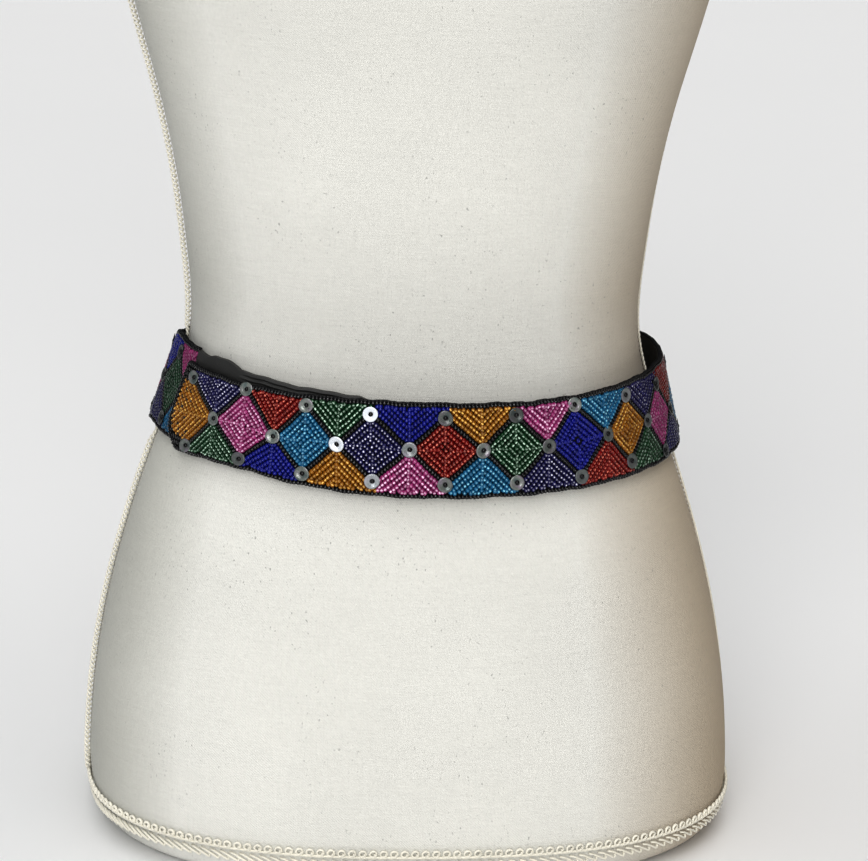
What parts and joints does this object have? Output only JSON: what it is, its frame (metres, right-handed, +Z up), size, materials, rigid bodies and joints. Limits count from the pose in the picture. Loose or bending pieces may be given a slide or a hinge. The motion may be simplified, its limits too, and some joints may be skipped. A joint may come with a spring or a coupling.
{
  "type": "beaded belt on dress form",
  "caption": "Beaded cloth belt with a diamond pattern, fastened in a loop round the waist of a plain limbless canvas dress form with a flat base.",
  "frame": {"origin": "middle of the flat base, on the surface it stands on", "axes": "+Z up, front of the form towards -Y, the viewer's right is +X"},
  "size_m": [0.3445, 0.2588, 0.7013],
  "materials": {
    "form_canvas": "matte cream canvas, twill weave with slubs",
    "cream_braid": "soft rayon gimp braid",
    "beadwork": "glossy silver-lined seed beads",
    "black_satin": "soft satin",
    "black_binding": "matte woven tape"
  },
  "bodies": {
    "root": {"dress_form": "form_canvas", "neck_cap": "form_canvas", "arm_plate_left": "form_canvas", "arm_plate_right": "form_canvas", "base_braid": "cream_braid", "side_braid_left": "cream_braid", "side_braid_right": "cream_braid", "belt_face": "beadwork", "belt_lining": "black_satin", "binding_top": "black_binding", "binding_bottom": "black_binding", "binding_end": "black_binding", "closure_tab": "black_satin"}
  },
  "joints": []
}
